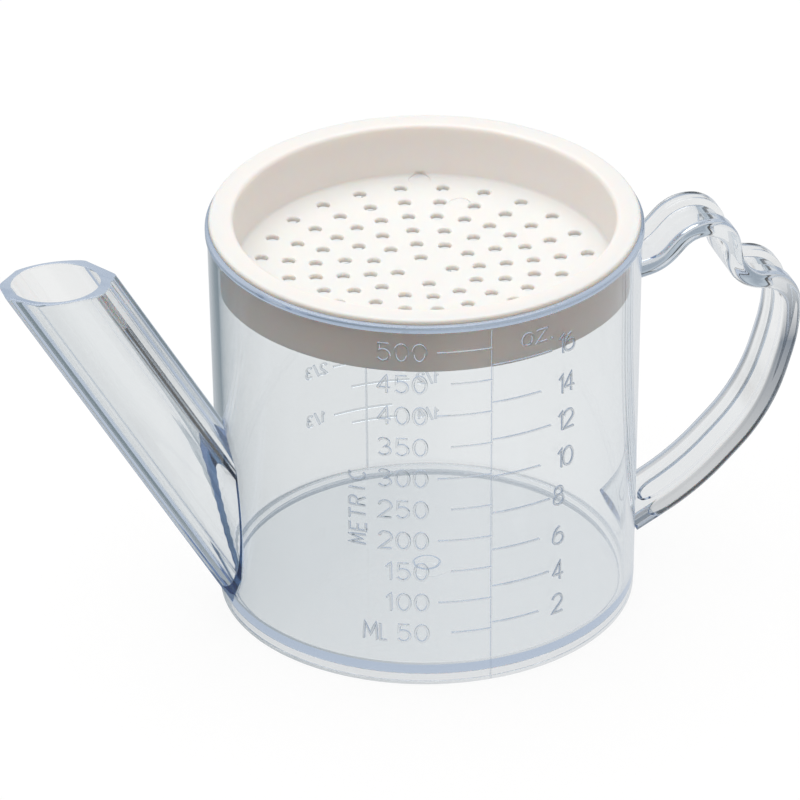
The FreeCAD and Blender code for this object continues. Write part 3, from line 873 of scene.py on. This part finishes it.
line_ladder = ladder()
for name, start, end, first, step, count in (
    ("ml_hundreds", -104.5, -89.9, 100 * ML_STEP, 100 * ML_STEP, 5),
    ("ml_fifties", -101.0, -89.9, 50 * ML_STEP, 100 * ML_STEP, 5),
    ("ounce_fours", -90.1, -72.8, 4 * OUNCE_STEP, 4 * OUNCE_STEP, 4),
    ("ounce_twos", -90.1, -76.0, 2 * OUNCE_STEP, 4 * OUNCE_STEP, 4),
    ("cup_quarters", 80.9, 94.4, 0.25 * CUP_STEP, 0.5 * CUP_STEP, 4),
    ("cup_halves", 77.2, 94.4, 0.5 * CUP_STEP, 0.5 * CUP_STEP, 4),
    ("cup_thirds", 82.3, 100.1, CUP_STEP / 3, CUP_STEP, 2),
    ("cup_two_thirds", 82.3, 100.1, CUP_STEP / 1.5, CUP_STEP, 2),
):
    zero = CUP_ZERO if name.startswith("cup") else ZERO
    path = [(start, zero + first), (end, zero + first)]
    line = raised_piece(name, [raised_line(path, LINE_WIDTH)])
    give(
        line,
        line_ladder,
        Count=count,
        Step=0.001 * step,
        First_Radius=0.001 * wall_radius(zero + first),
        Slope=WALL_SLOPE,
        Material=clear_plastic,
    )
    keep_normals(line)
    combine(cup, line, "UNION")
    drop(line)
for turn, lines in enumerate(stroke_turns):
    figures = raised_piece(f"figures_{turn}", lines)
    keep_normals(figures)
    combine(cup, figures, "UNION")
    drop(figures)
for degrees in (-90, 90):
    path = [(degrees, 0.5), (degrees, 88.3)]
    seam = raised_piece("seam", [raised_line(path, SEAM_WIDTH, relief=0.16)])
    keep_normals(seam)
    combine(cup, seam, "UNION")
    drop(seam)
split_faces(cup)
settle_normals(cup)

for piece, node in ((cup, "cup_shell"), (spout, "spout"), (handle, "handle")):
    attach(piece, "cup")
    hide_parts(node)

# ---------------------------------------------------------------------------
# Strainer. One moulding of white high-impact polystyrene: a flange that rests
# on the rim, a skirt that centres it, and a dish whose floor sags a little and
# is pierced by rings of drain holes.

DISH_FLOOR, DISH_UNDER, DISH_SAG = 79.6, 78.3, 1.6
DISH_RADIUS, DISH_FLAT, DISH_LIP = 41.28, 40.3, 41.78
SKIRT_FOOT, SKIRT_TOP = 44.88, 45.08
FLANGE_RADIUS, FLANGE_TOP = 47.2, 91.8
HOLE_RADIUS, RING_STEP, STRAINER_TURN = 1.45, 6.0, -9.0
RING_COUNTS = [4, 12, 16, 24, 24, 24]


def dish_height(radius, top=DISH_FLOOR):
    """Height of the sagging floor's upper or lower face."""
    return top - DISH_SAG * (1 - (radius / DISH_RADIUS) ** 2)


def white_styrene():
    """White moulded polystyrene: a satin skin with a very fine mould grain, warm
    in tone and just translucent enough to soften its shadows."""
    material, tree = bare_material("white_moulded_styrene")
    place = add_node(tree, "ShaderNodeTexCoord").outputs["Object"]
    # The mould's grain is about 0.4 mm, drawn a little coarser so that it shows.
    grain = add_node(tree, "ShaderNodeTexNoise", Vector=place, Scale=1600.0, Detail=2.0)
    # Flow marks from the gate are slow patches of about 25 mm.
    flow = add_node(tree, "ShaderNodeTexNoise", Vector=place, Scale=40.0, Detail=2.0)
    tone = add_node(
        tree,
        "ShaderNodeMix",
        {"data_type": "RGBA"},
        Factor=flow,
        A=linear("#F2EFED"),
        B=linear("#EFEBE6"),
    )
    gloss = add_node(
        tree,
        "ShaderNodeMapRange",
        Value=flow,
        From_Min=0.3,
        From_Max=0.7,
        To_Min=0.34,
        To_Max=0.44,
    )
    bump = add_node(tree, "ShaderNodeBump", Strength=0.15, Distance=0.00005, Height=grain)
    plastic = add_node(
        tree,
        "ShaderNodeBsdfPrincipled",
        Base_Color=tone,
        Roughness=gloss,
        IOR=1.59,
        Subsurface_Weight=1.0,
        Subsurface_Radius=(1.0, 0.75, 0.6),
        Subsurface_Scale=0.0022,
        Normal=bump,
    )
    add_node(tree, "ShaderNodeOutputMaterial", Surface=plastic)
    return material


white_plastic = white_styrene()
radii = np.linspace(0, 1, 25)
under = [(r * (DISH_RADIUS - 0.01), dish_height(r * DISH_RADIUS, DISH_UNDER)) for r in radii]
above = [(r, dish_height(r)) for r in radii[::-1] * (DISH_FLAT - 0.1)]
wall = rounded(
    [
        (DISH_RADIUS, DISH_UNDER, 0),
        (SKIRT_FOOT, DISH_UNDER, 0.35),
        (SKIRT_TOP, CUP_HEIGHT, 0),
        (FLANGE_RADIUS, CUP_HEIGHT, 0.25),
        (FLANGE_RADIUS, FLANGE_TOP, 0.7),
        (DISH_LIP, FLANGE_TOP, 1.0),
        (DISH_RADIUS, DISH_FLOOR + 0.02, 0.7),
        (DISH_FLAT, dish_height(DISH_FLAT), 0),
    ]
)
strainer = turned("white_strainer", under[:-1] + wall + above, CUP_TURNS, closed=False)
strainer.data.materials.append(white_plastic)
keep_normals(strainer)


def drain_rings():
    """Geometry nodes that set a drain hole's cutter on rings round the axis."""
    tree, given = node_group(
        "drain_rings",
        "Cutters",
        Cutter="Geometry",
        Ring_Step="Float",
        Turn="Float",
        Sag="Float",
        Material="Material",
    )
    times = {"operation": "MULTIPLY"}
    every = add_node(tree, "GeometryNodeJoinGeometry")
    turn = add_node(tree, "ShaderNodeCombineXYZ", Z=given["Turn"])
    for number, count in enumerate(RING_COUNTS, 1):
        radius = add_node(tree, "ShaderNodeMath", times, n0=given["Ring Step"], n1=float(number))
        ring = add_node(tree, "GeometryNodeMeshCircle", Vertices=count, Radius=radius)
        share = (number * RING_STEP / DISH_RADIUS) ** 2
        rise = add_node(tree, "ShaderNodeMath", times, n0=given["Sag"], n1=share)
        lift = add_node(tree, "ShaderNodeCombineXYZ", Z=rise)
        placed = add_node(
            tree, "GeometryNodeTransform", Geometry=ring, Translation=lift, Rotation=turn
        )
        copies = add_node(
            tree, "GeometryNodeInstanceOnPoints", Points=placed, Instance=given["Cutter"]
        )
        tree.links.new(copies.outputs["Instances"], every.inputs["Geometry"])
    real = add_node(tree, "GeometryNodeRealizeInstances", Geometry=every)
    painted = add_node(tree, "GeometryNodeSetMaterial", Geometry=real, Material=given["Material"])
    add_node(tree, "NodeGroupOutput", Cutters=painted)
    return tree


middle = DISH_FLOOR - DISH_SAG
hole = turned(
    "drain_hole",
    [
        (0, middle - 3),
        (HOLE_RADIUS + 0.9, middle - 3),
        (HOLE_RADIUS + 0.12, middle - 1.32),
        (HOLE_RADIUS, middle - 1.15),
        (HOLE_RADIUS, middle - 0.25),
        (HOLE_RADIUS + 0.06, middle - 0.1),
        (HOLE_RADIUS + 0.22, middle + 0.03),
        (HOLE_RADIUS + 1.0, middle + 0.4),
        (0, middle + 0.4),
    ],
    28,
    closed=False,
)
give(
    hole,
    drain_rings(),
    Ring_Step=0.001 * RING_STEP,
    Turn=math.radians(STRAINER_TURN),
    Sag=0.001 * DISH_SAG,
    Material=white_plastic,
)
keep_normals(hole, -1)
combine(strainer, hole, "DIFFERENCE")
drop(hole)
# The ejector pins left a faint ring on the floor and another by the wall.
for radius, degrees in ((30.0, 57.4), (39.0, 74.0)):
    x = radius * math.cos(math.radians(degrees))
    y = radius * math.sin(math.radians(degrees))
    low, high = dish_height(radius) - 0.12, dish_height(radius) + 1
    ring = turned("pin_ring", [(2.3, low), (2.55, low), (2.6, high), (2.25, high)], 40)
    ring.data.transform(Matrix.Translation((0.001 * x, 0.001 * y, 0)))
    ring.data.materials.append(white_plastic)
    keep_normals(ring, -1)
    combine(strainer, ring, "DIFFERENCE")
    drop(ring)
settle_normals(strainer)
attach(strainer, "strainer")
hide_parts("strainer_lid")

# ---------------------------------------------------------------------------
# Table and room. A matt white sweep under and behind the object, darker walls
# round it and a pale ceiling, with one large soft box overhead.


def looking(tree):
    """What looks at the room: the eye, then gloss or glass before any matt
    surface, then the share of that which was reflected on its way."""
    path = add_node(tree, "ShaderNodeLightPath").outputs
    glass = add_node(
        tree,
        "ShaderNodeMath",
        {"operation": "MAXIMUM"},
        n0=path["Is Glossy Ray"],
        n1=path["Is Transmission Ray"],
    )
    first = add_node(
        tree, "ShaderNodeMath", {"operation": "LESS_THAN"}, n0=path["Diffuse Depth"], n1=0.5
    )
    bent = add_node(tree, "ShaderNodeMath", {"operation": "MULTIPLY"}, n0=glass, n1=first)
    mirrored = add_node(
        tree, "ShaderNodeMath", {"operation": "GREATER_THAN"}, n0=path["Glossy Depth"], n1=0.5
    )
    return path["Is Camera Ray"], bent, mirrored


def white_sweep():
    """A matt white table that stays white to the eye and keeps a soft shadow. In
    glass it is white where it is lit and dark beyond, which draws the edges."""
    material, tree = bare_material("white_sweep")
    times, times_add = {"operation": "MULTIPLY"}, {"operation": "MULTIPLY_ADD"}
    mix = {"data_type": "RGBA"}
    straight, bent, mirrored = looking(tree)
    place = add_node(tree, "ShaderNodeTexCoord").outputs["Object"]
    at = add_node(tree, "ShaderNodeSeparateXYZ", Vector=place).outputs
    aside = add_node(tree, "ShaderNodeMath", {"operation": "ABSOLUTE"}, n0=at["X"])
    nearer = add_node(tree, "ShaderNodeMath", times, n0=at["Y"], n1=-1.0)
    away = add_node(tree, "ShaderNodeMath", {"operation": "MAXIMUM"}, n0=aside, n1=nearer)
    lit = add_node(
        tree,
        "ShaderNodeMapRange",
        Value=away,
        From_Min=0.3,
        From_Max=0.5,
        To_Min=1.0,
        To_Max=0.07,
    )
    handle_side = add_node(
        tree,
        "ShaderNodeMapRange",
        Value=at["X"],
        From_Min=-0.075,
        From_Max=0.0,
        To_Min=0.0,
        To_Max=1.0,
    )
    edges = add_node(
        tree,
        "ShaderNodeMix",
        mix,
        Factor=handle_side,
        A=linear("#70848F"),
        B=linear("#E8EBEE"),
    )
    through = add_node(tree, "ShaderNodeMath", times, n0=bent, n1=mirrored)
    seen = add_node(tree, "ShaderNodeMix", mix, Factor=through, A=(1, 1, 1, 1), B=edges)
    lit_glass = add_node(tree, "ShaderNodeMath", times, n0=bent, n1=lit)
    tone = add_node(tree, "ShaderNodeMath", times_add, n0=straight, n1=1.025, n2=lit_glass)
    glass_glow = add_node(tree, "ShaderNodeMath", times, n0=bent, n1=0.85)
    glow = add_node(tree, "ShaderNodeMath", times_add, n0=straight, n1=0.86, n2=glass_glow)
    bounce = add_node(
        tree, "ShaderNodeMix", mix, Factor=straight, A=linear("#B8AC9F"), B=linear("#EEEEEE")
    )
    matt = add_node(tree, "ShaderNodeBsdfDiffuse", Color=bounce)
    light = add_node(tree, "ShaderNodeEmission", Color=seen, Strength=tone)
    both = add_node(tree, "ShaderNodeMixShader", n0=glow, n1=matt, n2=light)
    material.cycles.emission_sampling = "NONE"
    add_node(tree, "ShaderNodeOutputMaterial", Surface=both)
    return material


bpy.ops.mesh.primitive_circle_add(vertices=96, radius=6.0, fill_type="NGON")
table = bpy.context.object
table.name = "table"
table.data.materials.append(white_sweep())


def studio():
    """The room: a white sweep up to the horizon, darker walls above it, darkest
    on the camera's side, and a pale ceiling. Glass sees the walls in stronger
    tones than those that light the object, and its reflections darker ones."""
    world = bpy.data.worlds.new("studio")
    world.use_nodes = True
    tree = world.node_tree
    tree.nodes.clear()
    mix = {"data_type": "RGBA"}
    straight, bent, mirrored = looking(tree)
    place = add_node(tree, "ShaderNodeTexCoord").outputs["Generated"]
    way = add_node(tree, "ShaderNodeSeparateXYZ", Vector=place).outputs
    front = add_node(
        tree,
        "ShaderNodeMapRange",
        Value=way["Y"],
        From_Min=0.05,
        From_Max=0.45,
        To_Min=0.0,
        To_Max=1.0,
    )
    # Tones by height above the horizon, given as the sine of the angle.
    behind_camera = ((0.0, "#3F4246"), (0.72, "#3F4246"), (0.88, "#F2F2F2"))
    behind_cup = (
        (0.0, "#FFFFFF"),
        (0.16, "#FFFFFF"),
        (0.34, "#AAAAAA"),
        (0.72, "#AAAAAA"),
        (0.88, "#FFFFFF"),
    )
    in_mirror = (
        (0.0, "#30363C"),
        (0.05, "#4A525A"),
        (0.12, "#C0CAD2"),
        (0.25, "#B4BEC8"),
        (0.34, "#A2ADB8"),
        (0.72, "#A2ADB8"),
        (0.88, "#FFFFFF"),
    )
    lights_near = ((0.0, "#0E0C0A"), (0.2, "#1C1A18"), (0.5, "#DDD8D3"), (1.0, "#F6F6F6"))
    lights_far = ((0.0, "#B4ADA6"), (0.3, "#A8A29A"), (0.6, "#DDD6D0"), (1.0, "#F2F2F2"))
    tones = []
    for stops in (behind_camera, behind_cup, in_mirror, lights_near, lights_far):
        ramp = add_node(tree, "ShaderNodeValToRGB", Fac=way["Z"])
        while len(ramp.color_ramp.elements) < len(stops):
            ramp.color_ramp.elements.new(0.5)
        for stop, (sine, tone) in zip(ramp.color_ramp.elements, stops):
            stop.position, stop.color = sine, linear(tone)
        tones.append(ramp)
    shown = add_node(tree, "ShaderNodeMix", mix, Factor=front, A=tones[0], B=tones[1])
    in_front = add_node(tree, "ShaderNodeMath", {"operation": "MULTIPLY"}, n0=mirrored, n1=front)
    shown = add_node(tree, "ShaderNodeMix", mix, Factor=in_front, A=shown, B=tones[2])
    lights = add_node(tree, "ShaderNodeMix", mix, Factor=front, A=tones[3], B=tones[4])
    colour = add_node(tree, "ShaderNodeMix", mix, Factor=bent, A=lights, B=shown)
    room = add_node(tree, "ShaderNodeBackground", Color=colour, Strength=1.0)
    white = add_node(tree, "ShaderNodeBackground", Color=(1, 1, 1, 1), Strength=1.0)
    both = add_node(tree, "ShaderNodeMixShader", n0=straight, n1=room, n2=white)
    add_node(tree, "ShaderNodeOutputWorld", Surface=both)
    return world


bpy.context.scene.world = studio()


def lamp(name, place, target, width, height, power):
    """A soft box, its sizes and places in metres, turned to a target."""
    light = bpy.data.lights.new(name, "AREA")
    light.shape = "RECTANGLE"
    light.size, light.size_y = width, height
    light.energy = power
    light.color = (0.96, 0.98, 1.0)
    lit = bpy.data.objects.new(name, light)
    lit.location = place
    lit.rotation_euler = (Vector(target) - Vector(place)).to_track_quat("-Z", "Y").to_euler()
    bpy.context.scene.collection.objects.link(lit)


lamp("overhead_box", (-0.1, 0.15, 1.3), (0, 0, 0.05), 1.7, 1.5, 10.7)

# ---------------------------------------------------------------------------
# Camera. A long lens 1.8 m away on the side of the scales, thirty degrees above
# the table and rolled by half a degree. It aims at the middle of the cup.

AIM, DISTANCE = Vector((-0.005436, 0.001693, 0.04539)), 1.8
camera_data = bpy.data.cameras.new("camera")
camera_data.sensor_width = 36.0
camera_data.lens = 366.95
camera_data.clip_start, camera_data.clip_end = 0.05, 50.0
camera = bpy.data.objects.new("camera", camera_data)
bpy.context.scene.collection.objects.link(camera)
rise, roll = math.radians(29.784), math.radians(-0.459)
right = Vector((0.95476, -0.29737, 0))
back = Vector((right.y * math.cos(rise), -right.x * math.cos(rise), math.sin(rise)))
up = back.cross(right)
rolled_right = right * math.cos(roll) + up * math.sin(roll)
rolled_up = up * math.cos(roll) - right * math.sin(roll)
camera.matrix_world = Matrix.Translation(AIM + back * DISTANCE) @ Matrix(
    (rolled_right, rolled_up, back)
).transposed().to_4x4()
bpy.context.scene.camera = camera
bpy.context.scene.view_settings.view_transform = "Standard"
